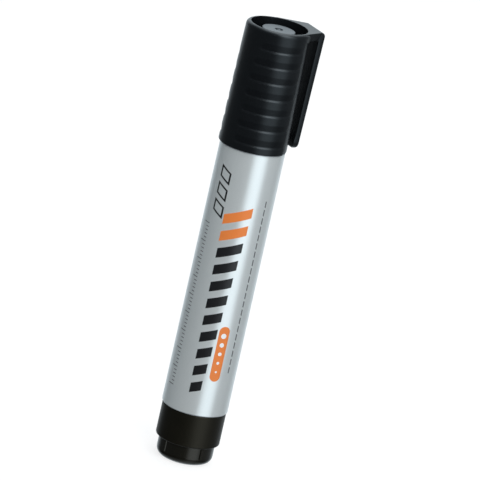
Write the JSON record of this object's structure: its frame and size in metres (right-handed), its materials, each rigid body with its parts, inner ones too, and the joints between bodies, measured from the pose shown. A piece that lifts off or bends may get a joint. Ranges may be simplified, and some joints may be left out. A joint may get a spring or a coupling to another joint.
{
  "type": "permanent marker",
  "caption": "Fat bullet-nib marker: silver barrel with a stepped black end plug, and a ridged push-on cap with a pocket clip and a vented head.",
  "frame": {"origin": "centre of the end plug's foot, on the surface that the marker stands on", "axes": "+Z along the marker's axis towards the cap, +X towards the pocket clip"},
  "size_m": [0.0208, 0.0184, 0.12],
  "materials": {
    "cap_black": "satin moulded",
    "liner_black": "satin moulded",
    "plug_black": "satin moulded",
    "barrel_silver": "silver moulded",
    "sleeve_silver": "metallised film with print",
    "holder_black": "satin moulded",
    "nib_fibre": "ink-soaked felt",
    "core_fibre": "ink-soaked fibre",
    "film_clear": "clear film"
  },
  "bodies": {
    "barrel": {"barrel": "barrel_silver", "printed_sleeve": "sleeve_silver", "end_plug": "plug_black", "ink_core": "core_fibre", "core_film": "film_clear", "nib_holder": "holder_black", "nib": "nib_fibre"},
    "liner": {"cap_liner": "liner_black"},
    "cap": {"cap_shell": "cap_black"},
    "clip": {"pocket_clip": "cap_black"}
  },
  "joints": [
    {"name": "cap_pull", "type": "slide", "parent": "barrel", "child": "liner", "axis": [0, 0, 1], "range_m": [0, 0.045]},
    {"name": "cap_turn", "type": "hinge", "parent": "liner", "child": "cap", "pos_m": [0, 0, 0.12], "axis": [0, 0, 1], "continuous": true},
    {"name": "clip_flex", "type": "hinge", "parent": "cap", "child": "clip", "pos_m": [0.01075, 0, 0.11785], "axis": [0, -1, 0], "range_deg": [0, 5], "stiffness_Nm_per_rad": 0.6}
  ]
}
